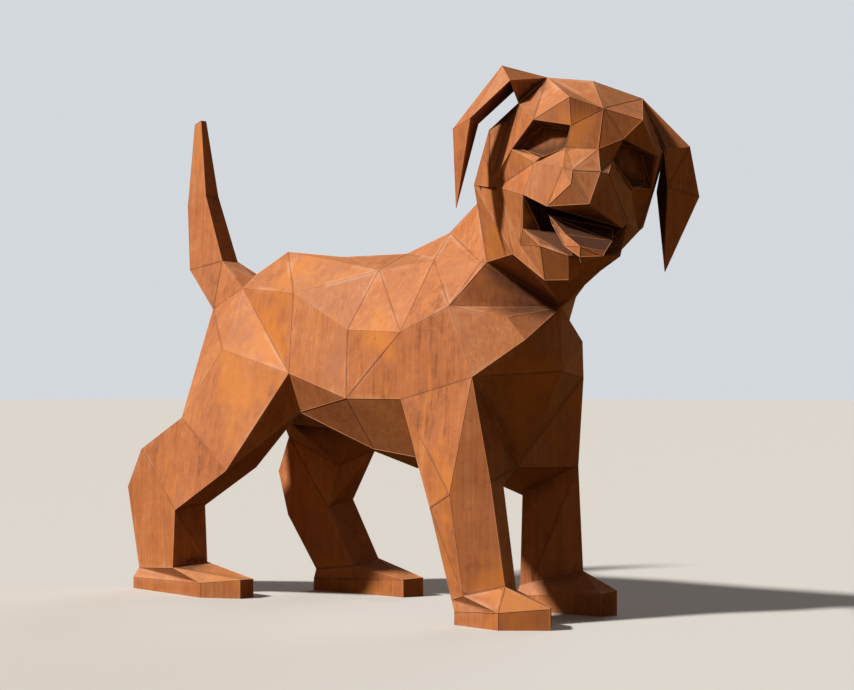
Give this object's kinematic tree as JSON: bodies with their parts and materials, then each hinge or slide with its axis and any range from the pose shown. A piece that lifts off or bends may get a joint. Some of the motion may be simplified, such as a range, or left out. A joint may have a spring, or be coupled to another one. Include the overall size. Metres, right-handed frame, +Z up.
{
  "type": "faceted steel dog sculpture",
  "caption": "Walking puppy sculpture of flat rusted steel plates welded edge to edge, its head turned and cocked, mouth open and tongue out, tail upright.",
  "frame": {"origin": "on the ground under the centre of the sculpture's bounding box", "axes": "+Z up, +X the way the body walks, +Y to the dog's left"},
  "size_m": [1.569, 0.5166, 1.21],
  "materials": {
    "plate_steel": "weathered, rusted orange brown",
    "ear_steel_right": "weathered, rusted orange brown",
    "ear_steel_left": "weathered, rusted orange brown",
    "tongue_steel": "weathered, rusted orange brown"
  },
  "bodies": {
    "root": {"shell": "plate_steel", "ear_right": "ear_steel_right", "ear_left": "ear_steel_left", "tongue": "tongue_steel"}
  },
  "joints": []
}
